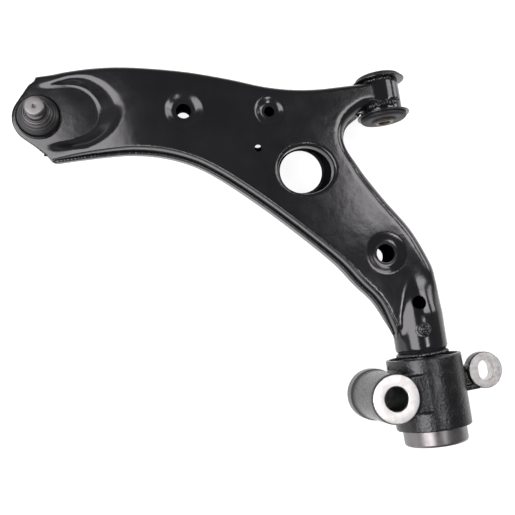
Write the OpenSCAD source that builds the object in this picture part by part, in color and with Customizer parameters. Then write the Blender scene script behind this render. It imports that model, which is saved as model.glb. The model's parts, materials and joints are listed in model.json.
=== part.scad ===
// Front suspension control arm: two welded pressings, a front bush in a cross tube,
// a press-fitted ball joint with its dust boot, and a rear bush in a cast bracket.
// Origin at the middle of the front bush bore. +Y runs along the pivot axis towards
// the front bush's outer end, the ball joint lies towards -X, and its stud points +Z.

/* [Arm pressings] */
// Thickness of the pressed sheet
sheet_t = 3; // [2:0.5:4]
// Height of the flat top of the upper pressing above the pivot axis
top_z = 20; // [18:1:22]
// Depth of the flat underside of the lower pressing below the pivot axis
bottom_z = 18; // [16:1:22]
// Height of the upper face of the flat that carries the ball joint
flat_z = 5; // [4:0.5:7]
// Outer radius of the rolled neck that holds the rear pin
neck_r = 26; // [24:0.5:28]

/* [Ball joint] */
// Radius of the ball on the stud
ball_r = 13.5; // [12:0.5:14]
// Radius of the stud's clamped shank
stud_r = 9; // [8:0.5:9.5]
// Height of the stud's end above the pivot axis
stud_top_z = 38; // [36:1:44]
// Radius of the housing where it is pressed through the pressings
housing_r = 20; // [19:0.5:20]
// Swing that the housing mouth leaves room for, in degrees each way
swing_deg = 16; // [10:1:16]

/* [Front bush] */
// Radius of the bolt bore
front_bore_r = 6.25; // [6:0.05:7.2]
// Outer radius of the inner sleeve
front_sleeve_r = 9.5; // [9:0.1:10]
// Length of the inner sleeve
front_sleeve_l = 52; // [50:1:56]
// Outer radius of the cross tube
eye_r = 20; // [19:0.5:21]
// Length of the cross tube
eye_l = 34; // [30:1:34]

/* [Rear bush and bracket] */
// Distance from the front bush centre to the rear bush centre
bush_span = 311; // [308:1:314]
// Radius of the rear pin
pin_r = 12; // [10:0.5:13]
// Outer radius of the cast barrel
barrel_r = 37.5; // [36:0.5:40]
// Length of the cast barrel
barrel_l = 70; // [66:1:72]
// Radius of the bore in the long boss
boss_bore_r = 11.5; // [8:0.25:12]
// Length of the long boss, across its machined faces
boss_l = 68; // [60:1:74]
// Width of the slot in the ear
slot_w = 15; // [12:0.5:16]
// Length of the slot in the ear
slot_l = 20; // [17:0.5:22]

/* [Hidden] */

$fn = 72;
eps = 0.01;
// Radial gap of the running fits between pieces that turn in each other
running_gap = 0.05;
far = 500;

// Colours
paint_black = "#1d1d20";
weld_black = "#26262a";
steel = "#b9b9b6";
zinc_tan = "#b3a283";
rubber_black = "#141414";
plastic_white = "#e8e6df";

// Place of the ball joint
ball_x = -346;
ball_y = 10;
ball_z = -3;

// Long edges of the arm, seen from above, as hand-set points on smooth curves.
// Taken in order they run anticlockwise, with the metal on the left.
outer_edge_points = [
    [-338, -33], [-294, -31], [-256, -32], [-219, -41], [-184, -60], [-134, -102],
    [-78, -158], [-56, -187], [-39, -209], [-28, -238]
];
inner_edge_points = [
    [19, -246], [21, -222], [23, -196], [20, -178], [5, -142], [-19, -106], [-40, -71],
    [-50, -50], [-50, -35], [-42, -23], [-24, -13], [0, -9]
];
front_edge_points = [
    [0, 14], [-30, 12.5], [-80, 11.5], [-120, 17], [-160, 29], [-198, 39], [-236, 46],
    [-274, 51], [-312, 52], [-345, 51]
];
// Rounded nose of the flat round the ball joint
nose_r = 25;
nose_from = 140;
nose_to = 230;

// The ball joint flat is a recess: its floor, and its rim where it meets the top
flat_floor = [
    [-375, -17], [-314, -14], [-303, -10.5], [-296, -6], [-291, 0], [-290.5, 12],
    [-293.5, 25], [-300, 33.5], [-309, 38.5], [-375, 39]
];
flat_rim = [
    [-375, -26], [-315, -26], [-299, -24], [-288, -19], [-279, -12], [-273, -4], [-272, 6],
    [-276, 17.5], [-283, 28], [-294, 35], [-308, 36], [-375, 36]
];
// The skirts stop short of the nose, and change to a butt joint at the neck
nose_x = -340;
butt_y = -200;
// The skirts of both pressings close in on the cross tube from here
tongue_x = -24;
tongue_half_w = 30;
skirt_down = 3.2;
skirt_up = 2;

// Holes through the top, and the shallow dishes round them: [x, y, radius, dish radius]
dish_depth = 3;
dished_holes = [[-209, 0, 7.3, 20], [-124.5, -8, 5.2, 15], [-28, -163, 9.2, 21]];
drain_hole = [-141.5, -44.5, 3.4];
neck_hole = [-4, -216, 6.5];
// Matching holes in the lower pressing: [x, y, radius]
lower_holes = [[-207, 1, 7.3], [-28, -162, 9.2], [-5, -214, 6.5], [-134, -30.5, 5.5]];

// Oval lightening hole in the top, with a flange turned down round it,
// and the round one below it
oval_at = [-96, -70.5];
oval_a = 28.3;
oval_b = 24.2;
flange_down = 11;
lower_hole_at = [-93, -65];
lower_hole_r = 22.4;

// Neck and rear pin, measured along the pivot axis
neck_end_y = -266;
neck_start_y = -185;
neck_full_y = -225;
neck_chamfer = 3;
pin_shank_r = neck_r - sheet_t;
pin_shank_y = -232;
pin_end_y = -352;
plug_weld_at = [-5, -243];
plug_weld_r = 8;
collar_y = neck_end_y - 4;

// Cross tube, front bush and their welds
eye_wall = 2.5;
sleeve_wall = 2;
lip_r = 27;
lip_t = 2;
saddle_r = eye_r + sheet_t;
saddle_x = 9;
bush_disc_r = 24;
bush_disc_t = 4.7;
bush_collar_r = 13.5;
weld_w = 2.8;

// Rear bush
rear_y = -bush_span;
barrel_top_y = -270;
inner_sleeve_wall = 3.5;
outer_sleeve_wall = 2.6;
outer_sleeve_r = 31.6;
outer_sleeve_top_y = -273;
outer_sleeve_end_y = -356;

// Long boss and slotted ear on the cast barrel
boss_at = [-48, -303];
boss_z = 1;
boss_r = 23.4;
boss_collar_r = 26.4;
boss_collar_l = 15;
web_half_w = 18;
web_end_x = -10;
web_corner_r = 7;
ear_at = [61, -293];
ear_z = 2;
ear_t = 12;
ear_r = 18.5;
ear_arm_half_w = 13;
ear_arm_y = -298;
ear_web_t = 6;

// Ball joint
flange_r = 22.5;
flange_t = 2.5;
mouth_r = 15;
collar_r = 19;
collar_h = 3;
liner_t = 2.5;
housing_bottom_z = -19;
cap_r = 16.5;
cap_t = 2.5;
stud_neck_r = 7;
boot_foot_z = flat_z + flange_t;
boot_split_z = 15;
boot_top_z = 23;
boot_wall = 1.8;
clip_h = 3;
// Depth of the seat turned in the shank for the boot's lip
lip_seat = 0.4;

// ---- curves -------------------------------------------------------------------

function curve_point(a, b, c, d, t) =
    0.5 * (2 * b + (c - a) * t + (2 * a - 5 * b + 4 * c - d) * t * t
    + (3 * b - a - 3 * c + d) * t * t * t);

// Smooth open curve through the points, with n steps between neighbours
function through(p, n = 5) = concat(
    [for (i = [0 : len(p) - 2], k = [0 : n - 1])
        curve_point(p[max(i - 1, 0)], p[i], p[i + 1], p[min(i + 2, len(p) - 1)], k / n)],
    [p[len(p) - 1]]);

// Unit normal of an open or closed path at point i, to the right of its direction
function right_normal(p, i, closed) =
    let (n = len(p),
         a = closed ? p[(i + n - 1) % n] : p[max(i - 1, 0)],
         b = closed ? p[(i + 1) % n] : p[min(i + 1, n - 1)],
         d = b - a)
    [d[1], -d[0]] / norm(d);

// The path moved outwards by d
function grow(p, d, closed = true) =
    [for (i = [0 : len(p) - 1]) p[i] + d * right_normal(p, i, closed)];

function reversed(p) = [for (i = [len(p) - 1 : -1 : 0]) p[i]];

function arc(at, r, from, to, steps) =
    [for (i = [0 : steps]) let (a = from + (to - from) * i / steps)
        at + r * [cos(a), sin(a)]];

function ellipse_points(at, a, b) =
    [for (i = [0 : $fn - 1]) at + [a * cos(360 * i / $fn), b * sin(360 * i / $fn)]];

// A band of width d along the outside of an open path
function band(p, d) = concat(grow(p, d, false), reversed(p));

outer_edge = through(outer_edge_points);
inner_edge = through(inner_edge_points);
front_edge = through(front_edge_points);
nose = arc([ball_x, ball_y], nose_r, nose_from, nose_to, 12);

outline = concat(
    outer_edge, [[-24, -246]], inner_edge, [[saddle_x, -6], [saddle_x, 11]], front_edge,
    [[-347, 47], [-352, 43]], nose, [[-350, -20], [-343, -27]]);

// The inside of the sheet, one thickness in from the outline
inside = grow(outline, -sheet_t);

// The lower pressing laps outside the upper one, except at the nose and the neck
function lap(q) = (q[0] < nose_x || q[1] < butt_y || q[0] > tongue_x) ? 0 : sheet_t;
lapped = [for (i = [0 : len(outline) - 1])
    outline[i] + lap(outline[i]) * right_normal(outline, i, true)];

// ---- shared shapes ------------------------------------------------------------

// A prism over a plan outline, from z0 to z1
module prism(points, z0, z1) {
    translate([0, 0, z0]) linear_extrude(z1 - z0) polygon(points);
}

// A slab across the whole width with the given side profile of [x, z] points
module side_slab(profile) {
    translate([0, far, 0]) rotate([90, 0, 0]) linear_extrude(2 * far) polygon(profile);
}

// A solid of revolution about the pivot axis, from [radius, y] points
module about_pivot(profile) {
    rotate([-90, 0, 0]) rotate_extrude() polygon(profile);
}

// A cylinder along the pivot axis between two places
module pivot_cylinder(r, y0, y1) {
    translate([0, min(y0, y1), 0]) rotate([-90, 0, 0]) cylinder(r = r, h = abs(y1 - y0));
}

// A hollow cylinder along the pivot axis
module pivot_tube(r_out, r_in, y0, y1) {
    difference() {
        pivot_cylinder(r_out, y0, y1);
        pivot_cylinder(r_in, min(y0, y1) - 1, max(y0, y1) + 1);
    }
}

// A hollow upright cylinder
module upright_tube(r_out, r_in, z0, z1) {
    translate([0, 0, z0]) difference() {
        cylinder(r = r_out, h = z1 - z0);
        translate([0, 0, -1]) cylinder(r = r_in, h = z1 - z0 + 2);
    }
}

// The recess for the ball joint flat, between its floor and its rim
module flat_recess(margin, floor_z, rim_z) {
    hull() {
        prism(grow(flat_floor, margin), floor_z, floor_z + eps);
        prism(grow(flat_rim, margin), rim_z, rim_z + eps);
    }
}

// Rolled neck: a cone that grows out of the pressing, then a short tube
module neck_solid(r) {
    about_pivot([
        [0, neck_end_y], [r - neck_chamfer, neck_end_y], [r, neck_end_y + neck_chamfer],
        [r, neck_full_y], [r - 7, neck_start_y], [0, neck_start_y]
    ]);
}

// The room inside the neck, open at its end
module neck_room() {
    r = neck_r - sheet_t;
    about_pivot([
        [0, neck_end_y - 1], [r, neck_end_y - 1], [r, neck_full_y], [r - 7, neck_start_y],
        [0, neck_start_y]
    ]);
}

module above(z) { translate([-far, -far, z]) cube([2 * far, 2 * far, far]); }
module below(z) { mirror([0, 0, 1]) above(-z); }

// ---- arm pressings ------------------------------------------------------------

// Side profile of the top, lowered by d: it falls towards the nose
function top_profile(d) = [
    [-far, flat_z - d], [-340, flat_z + 2 - d], [-318, 14 - d], [-290, top_z - d],
    [far, top_z - d], [far, -60], [-far, -60]
];

// Side profile of the underside, raised by d: it climbs towards the nose
function underside_profile(d) = [
    [-far, d], [-345, -6 + d], [-150, -bottom_z + d], [far, -bottom_z + d], [far, 60], [-far, 60]
];

module dishes(at_z, margin) {
    for (h = dished_holes)
        translate([h[0], h[1], at_z - dish_depth])
            cylinder(r1 = h[3] - 6 + margin, r2 = h[3] + margin, h = dish_depth + eps);
}

module saddle(r) {
    pivot_cylinder(r, -9, 14);
}

module upper_solid() {
    intersection() {
        prism(outline, -skirt_down, top_z);
        side_slab(top_profile(0));
    }
    intersection() {
        neck_solid(neck_r);
        above(0);
    }
    intersection() {
        saddle(saddle_r);
        translate([-far, -far, -skirt_down]) cube([far + saddle_x, 2 * far, far]);
    }
}

module upper_hollow() {
    difference() {
        intersection() {
            prism(inside, -skirt_down - 1, top_z - sheet_t);
            side_slab(top_profile(sheet_t));
        }
        flat_recess(sheet_t, flat_z - sheet_t, top_z - sheet_t);
        dishes(top_z - sheet_t, 2);
        prism(ellipse_points(oval_at, oval_a + sheet_t, oval_b + sheet_t), top_z - flange_down, top_z);
    }
    neck_room();
}

module upper_shell() {
    color(paint_black) difference() {
        upper_solid();
        upper_hollow();
        flat_recess(0, flat_z, top_z);
        dishes(top_z, 0);
        prism(ellipse_points(oval_at, oval_a, oval_b), -far, far);
        for (h = concat(dished_holes, [drain_hole, neck_hole]))
            translate([h[0], h[1], 0]) cylinder(r = h[2], h = far);
        translate([ball_x, ball_y, 0]) cylinder(r = housing_r, h = far);
        translate([plug_weld_at[0], plug_weld_at[1], 0]) cylinder(r = plug_weld_r, h = far);
        pivot_cylinder(eye_r, -eye_l, eye_l);
        // Beyond the butt line the two pressings meet on the pivot plane
        translate([-far, butt_y - far, -far]) cube([2 * far, far, far]);
        // The nose is flat sheet with no skirt
        translate([nose_x - far, -far, flat_z - sheet_t - far]) cube([far, 2 * far, far]);
    }
}

module lower_solid() {
    intersection() {
        prism(lapped, -bottom_z, skirt_up);
        side_slab(underside_profile(0));
    }
    intersection() {
        neck_solid(neck_r);
        below(0);
    }
    intersection() {
        saddle(saddle_r);
        translate([-far, -far, -skirt_down - far]) cube([far + saddle_x, 2 * far, far]);
    }
}

module lower_hollow() {
    difference() {
        intersection() {
            prism(outline, -bottom_z + sheet_t, skirt_up + 1);
            side_slab(underside_profile(sheet_t));
        }
        // Sheet under the ball joint flat, taken a little past its upper face
        flat_recess(sheet_t, flat_z - sheet_t + 0.5, -bottom_z);
        translate([nose_x - far, -far, -far]) cube([far, 2 * far, far + skirt_up]);
        // Walls on the pivot plane beyond the butt line, and round the tongue
        translate([-far, butt_y - far, -far]) cube([2 * far, far, 2 * far]);
        translate([tongue_x, -tongue_half_w, -far]) cube([far, 2 * tongue_half_w, far - skirt_down]);
    }
    difference() {
        prism(inside, -bottom_z + sheet_t, 1);
        translate([-far, butt_y, -far]) cube([2 * far, far, 2 * far]);
    }
    neck_room();
}

module lower_shell() {
    color(paint_black) difference() {
        lower_solid();
        lower_hollow();
        flat_recess(0, flat_z - 2 * sheet_t, -bottom_z - eps);
        for (h = lower_holes)
            translate([h[0], h[1], -far]) cylinder(r = h[2], h = far);
        translate([lower_hole_at[0], lower_hole_at[1], -far]) cylinder(r = lower_hole_r, h = far);
        translate([ball_x, ball_y, -far]) cylinder(r = housing_r, h = 2 * far);
        pivot_cylinder(eye_r, -eye_l, eye_l);
        // Above the butt line on the neck, and above the flat at the nose
        translate([-far, butt_y - far, 0]) cube([2 * far, far, far]);
        translate([nose_x - far, -far, flat_z - sheet_t]) cube([far, 2 * far, far]);
        translate([nose_x - far, -far, flat_z - 2 * sheet_t - far]) cube([far, 2 * far, far]);
    }
}

// A weld bead along an edge, on the ledge where the pressings lap
module seam_weld(points) {
    color(weld_black) prism(band(points, 2.4), skirt_up, skirt_up + 2.4);
}

function between(p, axis, low, high) = [for (q = p) if (q[axis] > low && q[axis] < high) q];

module seam_weld_outer() {
    seam_weld(between(outer_edge, 1, butt_y + 3, 0));
}

module seam_weld_front() {
    seam_weld(between(front_edge, 0, nose_x + 3, -20));
}

module seam_weld_inner() {
    seam_weld(between(inner_edge, 1, butt_y + 3, -20));
}

// ---- front bush ---------------------------------------------------------------

module eye_tube() {
    color(paint_black) pivot_tube(eye_r, eye_r - eye_wall, -eye_l / 2, eye_l / 2);
}

// Fillet weld on the cross tube, beside the wrapped tongue, over part of a turn
module eye_weld(y, side, from, to) {
    rotate([-90, 0, 0]) rotate([0, 0, from])
        translate([0, 0, y]) rotate_extrude(angle = to - from) polygon([
            [eye_r, 0], [saddle_r - 0.5, 0], [eye_r + 1.2, side * (weld_w - 1)],
            [eye_r, side * weld_w]
        ]);
}

module eye_weld_upper() {
    color(weld_black) {
        eye_weld(-9, -1, -90, -68);
        eye_weld(14, 1, -150, -75);
    }
}

module eye_weld_lower() {
    color(weld_black) {
        eye_weld(-9, -1, 68, 90);
        eye_weld(14, 1, 75, 150);
    }
}

module front_bush_outer_sleeve() {
    r = eye_r - eye_wall;
    half = eye_l / 2;
    color(steel) difference() {
        about_pivot([
            [0, -half - lip_t], [lip_r, -half - lip_t], [lip_r, -half], [r, -half], [r, half],
            [lip_r, half], [lip_r, half + lip_t], [0, half + lip_t]
        ]);
        pivot_cylinder(r - sleeve_wall, -eye_l, eye_l);
    }
}

module front_bush_rubber() {
    r = eye_r - eye_wall - sleeve_wall;
    face = eye_l / 2 + lip_t;
    disc = face + bush_disc_t;
    color(rubber_black) difference() {
        about_pivot([
            [0, -disc - 1.5], [bush_collar_r, -disc - 1.5], [bush_collar_r, -disc],
            [bush_disc_r - 2.5, -disc], [bush_disc_r, -disc + 2.5], [bush_disc_r, -face],
            [r, -face], [r, face],
            [bush_disc_r, face], [bush_disc_r, disc - 2.5], [bush_disc_r - 2.5, disc],
            [bush_collar_r, disc], [bush_collar_r, disc + 1.5], [0, disc + 1.5]
        ]);
        pivot_cylinder(front_sleeve_r + running_gap, -front_sleeve_l, front_sleeve_l);
    }
}

module front_bush_inner_sleeve() {
    color(zinc_tan)
        pivot_tube(front_sleeve_r, front_bore_r, -front_sleeve_l / 2, front_sleeve_l / 2);
}

// ---- ball joint ---------------------------------------------------------------

module at_ball_joint() {
    translate([ball_x, ball_y, 0]) children();
}

module ball_joint_housing() {
    socket_r = ball_r + liner_t;
    color(paint_black) at_ball_joint() difference() {
        rotate_extrude() polygon([
            [0, housing_bottom_z], [housing_r - 1.5, housing_bottom_z],
            [housing_r, housing_bottom_z + 1.5], [housing_r, flat_z], [flange_r, flat_z],
            [flange_r, boot_foot_z], [collar_r, boot_foot_z], [collar_r, boot_foot_z + collar_h],
            [0, boot_foot_z + collar_h]
        ]);
        translate([0, 0, ball_z]) sphere(r = socket_r);
        translate([0, 0, housing_bottom_z - 1]) cylinder(r = socket_r, h = ball_z - housing_bottom_z + 1);
        translate([0, 0, housing_bottom_z - 1]) cylinder(r = cap_r, h = cap_t + 1);
        translate([0, 0, ball_z]) cylinder(r1 = 9, r2 = mouth_r, h = boot_foot_z + collar_h - ball_z + eps);
    }
}

module ball_seat_liner() {
    color(plastic_white) at_ball_joint() difference() {
        union() {
            translate([0, 0, ball_z]) sphere(r = ball_r + liner_t);
            translate([0, 0, housing_bottom_z + cap_t])
                cylinder(r = ball_r + liner_t, h = ball_z - housing_bottom_z - cap_t);
        }
        translate([0, 0, ball_z]) sphere(r = ball_r + running_gap);
        translate([0, 0, ball_z + 4.5]) cylinder(r = 2 * ball_r, h = 2 * ball_r);
        translate([0, 0, ball_z]) cylinder(r1 = 9, r2 = mouth_r, h = boot_foot_z + collar_h - ball_z);
        translate([0, 0, housing_bottom_z]) cylinder(r = 5, h = 6);
        below(housing_bottom_z + cap_t);
    }
}

module housing_end_cap() {
    color(steel) at_ball_joint() difference() {
        translate([0, 0, housing_bottom_z]) cylinder(r = cap_r, h = cap_t);
        translate([0, 0, housing_bottom_z - 1]) cylinder(r1 = 9, r2 = 7, h = 2);
    }
}

module boot_retaining_ring() {
    color(rubber_black) at_ball_joint()
        upright_tube(flange_r - 0.4, flange_r - 2.2, boot_foot_z, boot_foot_z + 3.2);
}

// A wall between two profiles of revolution
module boot_wall_ring(profile) {
    color(rubber_black) at_ball_joint() rotate_extrude() polygon(profile);
}

module boot_lower() {
    r = flange_r - 2.2;
    boot_wall_ring([
        [collar_r, boot_foot_z], [r, boot_foot_z], [r, boot_foot_z + 4], [19, boot_split_z - 1],
        [17.5, boot_split_z], [17.5 - boot_wall, boot_split_z], [r - boot_wall - 0.6, boot_foot_z + 4.4],
        [collar_r, boot_foot_z + collar_h]
    ]);
}

module boot_upper() {
    r = stud_r - lip_seat + 2 * running_gap;
    boot_wall_ring([
        [17.5, boot_split_z], [16, boot_top_z - 5], [stud_r + 2.4, boot_top_z - clip_h],
        [stud_r + 2.4, boot_top_z], [r, boot_top_z], [r, boot_top_z - clip_h - 1],
        [14, boot_top_z - 6.5], [17.5 - boot_wall, boot_split_z]
    ]);
}

module boot_clip_ring() {
    color(steel) at_ball_joint()
        upright_tube(stud_r + 3.6, stud_r + 2.4, boot_top_z - clip_h + 0.5, boot_top_z - 0.3);
}

module ball_stud() {
    groove_z = (boot_top_z + stud_top_z) / 2;
    neck_top_z = boot_top_z - clip_h - 2;
    seat_r = stud_r - lip_seat;
    color(steel) at_ball_joint() difference() {
        union() {
            translate([0, 0, ball_z]) sphere(r = ball_r);
            rotate_extrude() polygon([
                [0, ball_z], [stud_neck_r, ball_z], [stud_neck_r, neck_top_z - 5],
                [seat_r, neck_top_z], [seat_r, boot_top_z + eps], [stud_r, boot_top_z + eps],
                [stud_r, stud_top_z - 1], [stud_r - 1, stud_top_z],
                [0, stud_top_z]
            ]);
        }
        // Groove for the clamp bolt, flat under the ball, and the centre drilling
        translate([0, 0, groove_z]) rotate_extrude() translate([stud_r + 3.8, 0]) circle(r = 5);
        translate([0, 0, ball_z - ball_r - 1]) cylinder(r = ball_r, h = 3);
        translate([0, 0, stud_top_z - 2]) cylinder(r1 = 0.2, r2 = 2, h = 2 + eps);
    }
}

// ---- rear pin and its bush ------------------------------------------------------

module rear_pin() {
    color(paint_black) about_pivot([
        [0, pin_end_y], [pin_r - 1.5, pin_end_y], [pin_r, pin_end_y + 1.5], [pin_r, collar_y],
        [pin_shank_r - 4, collar_y], [pin_shank_r - 4, neck_end_y], [pin_shank_r, neck_end_y],
        [pin_shank_r, pin_shank_y - 3], [pin_shank_r - 3, pin_shank_y], [0, pin_shank_y]
    ]);
}

// Weld metal that fills the round window in the neck, over the pin's shank
module plug_weld() {
    color(weld_black) intersection() {
        translate([plug_weld_at[0], plug_weld_at[1], 0]) cylinder(r = plug_weld_r, h = far);
        pivot_tube(neck_r + 1.2, pin_shank_r, -300, -200);
    }
}

module neck_ring_weld() {
    r0 = pin_shank_r - 4;
    color(weld_black) difference() {
        about_pivot([[0, collar_y + 0.5], [r0 + 2, collar_y + 0.5], [neck_r - 3, neck_end_y], [0, neck_end_y]]);
        pivot_cylinder(r0, -300, -200);
    }
}

module rear_bush_inner_sleeve() {
    color(steel) pivot_tube(pin_r + inner_sleeve_wall, pin_r, pin_end_y + 2, collar_y);
}

module rear_bush_rubber() {
    r_in = pin_r + inner_sleeve_wall + running_gap;
    r_out = outer_sleeve_r - outer_sleeve_wall;
    top = outer_sleeve_top_y - 3;
    end = outer_sleeve_end_y + 8;
    color(rubber_black) difference() {
        about_pivot([
            [0, end], [r_in + 4, end], [r_in + 7, end + 8], [r_out - 3, end + 8], [r_out, end + 3],
            [r_out, top - 3], [r_out - 3, top - 7], [r_in + 6, top - 7], [r_in + 3, top], [0, top]
        ]);
        pivot_cylinder(r_in, -400, -200);
    }
}

module rear_bush_outer_sleeve() {
    r_in = outer_sleeve_r - outer_sleeve_wall;
    color(steel) difference() {
        about_pivot([
            [0, outer_sleeve_end_y], [outer_sleeve_r - 2, outer_sleeve_end_y],
            [outer_sleeve_r, outer_sleeve_end_y + 1.5], [outer_sleeve_r, outer_sleeve_top_y],
            [0, outer_sleeve_top_y]
        ]);
        pivot_cylinder(r_in, -400, -200);
    }
}

// ---- cast bracket ---------------------------------------------------------------

module boss_solid() {
    low = boss_z - boss_l / 2;
    translate([boss_at[0], boss_at[1], 0]) rotate_extrude() polygon([
        [0, low], [boss_collar_r - 1, low], [boss_collar_r, low + 1],
        [boss_collar_r, low + boss_collar_l], [boss_r + 1, low + boss_collar_l + 2],
        [boss_r + 1, low + boss_l - 2], [boss_r, low + boss_l], [0, low + boss_l]
    ]);
}

// Thick web from the boss to the barrel, with rounded ends
module boss_web() {
    low = boss_z - boss_l / 2 + 2;
    r = web_corner_r;
    translate([0, 0, low]) linear_extrude(boss_l - 4) polygon(concat(
        [[boss_at[0], boss_at[1] - web_half_w]],
        arc([web_end_x - r, boss_at[1] - web_half_w + r], r, -90, 0, 8),
        arc([web_end_x - r, boss_at[1] + web_half_w - r], r, 0, 90, 8),
        [[boss_at[0], boss_at[1] + web_half_w]]));
}

module ear_solid() {
    translate([ear_at[0], ear_at[1], ear_z - ear_t / 2]) cylinder(r = ear_r, h = ear_t);
    // Arm to the barrel: a thin web with a thicker flange along each edge
    translate([0, ear_arm_y - ear_arm_half_w, ear_z - ear_web_t / 2])
        cube([ear_at[0] - ear_r / 2, 2 * ear_arm_half_w, ear_web_t]);
    for (side = [-1, 1])
        translate([0, ear_arm_y + side * (ear_arm_half_w - 2.5) - 2.5, ear_z - ear_t / 2])
            cube([ear_at[0] - ear_r / 2, 5, ear_t]);
}

// Slot with round ends, long along the pivot axis
module slot(h) {
    half = (slot_l - slot_w) / 2;
    for (side = [-1, 1])
        translate([0, side * half, 0]) cylinder(r = slot_w / 2, h = h, center = true);
    cube([slot_w, 2 * half, h], center = true);
}

module rear_bracket() {
    color(paint_black) difference() {
        union() {
            about_pivot([
                [0, barrel_top_y - barrel_l], [barrel_r - 1.5, barrel_top_y - barrel_l],
                [barrel_r, barrel_top_y - barrel_l + 1.5], [barrel_r, barrel_top_y - 1.5],
                [barrel_r - 1.5, barrel_top_y], [0, barrel_top_y]
            ]);
            boss_solid();
            boss_web();
            ear_solid();
        }
        pivot_cylinder(outer_sleeve_r, barrel_top_y - barrel_l - 20, outer_sleeve_top_y);
        pivot_cylinder(outer_sleeve_r + 2.4, outer_sleeve_top_y - eps, barrel_top_y + 1);
        translate([boss_at[0], boss_at[1], -far]) cylinder(r = boss_bore_r, h = 2 * far);
        translate([ear_at[0], ear_at[1], ear_z]) slot(2 * ear_t);
    }
}

upper_shell();
lower_shell();
seam_weld_outer();
seam_weld_front();
seam_weld_inner();
eye_tube();
eye_weld_upper();
eye_weld_lower();
front_bush_outer_sleeve();
front_bush_rubber();
front_bush_inner_sleeve();
ball_joint_housing();
ball_seat_liner();
housing_end_cap();
boot_retaining_ring();
boot_lower();
boot_upper();
boot_clip_ring();
ball_stud();
rear_pin();
plug_weld();
neck_ring_weld();
rear_bush_inner_sleeve();
rear_bush_rubber();
rear_bush_outer_sleeve();
rear_bracket();
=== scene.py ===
"""Visual model of the front suspension control arm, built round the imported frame."""
import json
import random
from math import acos, atan2, copysign, cos, pi, radians, sin, sqrt, tan, tau

import bpy
import bmesh
import numpy as np
from mathutils import Matrix, Vector, noise
from mathutils.geometry import delaunay_2d_cdt


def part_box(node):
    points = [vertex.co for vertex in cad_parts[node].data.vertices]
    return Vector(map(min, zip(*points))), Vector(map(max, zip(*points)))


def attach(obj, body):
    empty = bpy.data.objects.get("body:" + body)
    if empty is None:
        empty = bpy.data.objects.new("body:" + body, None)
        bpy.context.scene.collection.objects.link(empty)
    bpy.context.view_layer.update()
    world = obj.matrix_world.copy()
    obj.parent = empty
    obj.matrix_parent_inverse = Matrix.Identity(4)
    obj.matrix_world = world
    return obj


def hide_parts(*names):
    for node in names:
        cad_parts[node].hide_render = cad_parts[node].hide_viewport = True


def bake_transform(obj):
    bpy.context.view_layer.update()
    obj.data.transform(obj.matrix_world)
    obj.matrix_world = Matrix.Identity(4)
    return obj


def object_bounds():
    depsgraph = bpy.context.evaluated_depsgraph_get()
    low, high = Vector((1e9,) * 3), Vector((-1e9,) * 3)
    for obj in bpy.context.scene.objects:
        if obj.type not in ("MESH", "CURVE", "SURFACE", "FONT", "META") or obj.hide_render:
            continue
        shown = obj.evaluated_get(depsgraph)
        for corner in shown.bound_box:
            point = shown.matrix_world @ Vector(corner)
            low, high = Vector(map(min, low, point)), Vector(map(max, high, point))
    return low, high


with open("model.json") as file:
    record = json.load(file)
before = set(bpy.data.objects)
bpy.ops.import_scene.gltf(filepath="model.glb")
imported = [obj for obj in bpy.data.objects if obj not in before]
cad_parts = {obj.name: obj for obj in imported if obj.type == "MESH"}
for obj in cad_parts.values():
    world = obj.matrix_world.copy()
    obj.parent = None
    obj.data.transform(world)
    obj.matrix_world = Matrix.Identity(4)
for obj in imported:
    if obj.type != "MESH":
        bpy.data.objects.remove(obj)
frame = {"nodes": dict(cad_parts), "record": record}


def plain_box(bounds):
    return [[float(c) for c in corner] for corner in bounds]


cad_bounds = plain_box(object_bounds())
MM = 0.001


def box_mm(node):
    low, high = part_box(node)
    return np.array(low) / MM, np.array(high) / MM


# ---- places and sizes from the frame, in millimetres ----

stud_low, stud_high = box_mm("ball_stud")
BALL_X, BALL_Y = (stud_low[:2] + stud_high[:2]) / 2
STUD_TOP = stud_high[2]
sleeve_high = box_mm("front_bush_inner_sleeve")[1]
SLEEVE_HALF = sleeve_high[1]
SLEEVE_R = sleeve_high[2]
tube_high = box_mm("eye_tube")[1]
EYE_R = tube_high[2]
EYE_HALF = tube_high[1]
lip_high = box_mm("front_bush_outer_sleeve")[1]
LIP_R = lip_high[2]
LIP_HALF = lip_high[1]
FRONT_RUBBER = box_mm("front_bush_rubber")[1]
OUTER_SLEEVE_LOW, OUTER_SLEEVE_HIGH = box_mm("rear_bush_outer_sleeve")
BRACKET_LOW, BRACKET_HIGH = box_mm("rear_bracket")
PIN_LOW = box_mm("rear_pin")[0]
HOUSING_LOW, HOUSING_HIGH = box_mm("ball_joint_housing")

# ---- outline of the pressings ----

OUTER_EDGE = [
    (-338, -33), (-294, -31), (-256, -32), (-219, -41), (-184, -60), (-134, -102), (-78, -158),
    (-56, -187), (-39, -209), (-30, -233), (-26.4, -248), (-26, -262)]
NECK_END = [(-23.4, -265.8), (23.4, -265.8)]
INNER_EDGE = [
    (26, -262), (26, -246), (25.6, -228), (24.4, -212), (23, -196), (20, -178), (5, -142),
    (-19, -106), (-40, -71), (-50, -50), (-50, -35), (-42, -23), (-24, -13), (0, -9)]
TONGUE_END = [(9, -6.5), (9.4, -4), (9.4, 9), (9, 11.5)]
FRONT_EDGE = [
    (0, 14), (-30, 12.5), (-80, 11.5), (-120, 17), (-160, 29), (-198, 39), (-236, 46), (-274, 51),
    (-312, 52), (-345, 51)]
NOSE_R = 25
FLAT_FLOOR = [
    (-375, -17), (-325, -16), (-313.6, -14), (-303.4, -10.7), (-295.5, -5.4), (-291.6, 1.2),
    (-290.5, 8), (-291.2, 16.8), (-293.8, 24.8), (-298.7, 31.2), (-306, 36.3), (-315, 38.6),
    (-326, 38.8), (-375, 38.8)]
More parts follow.
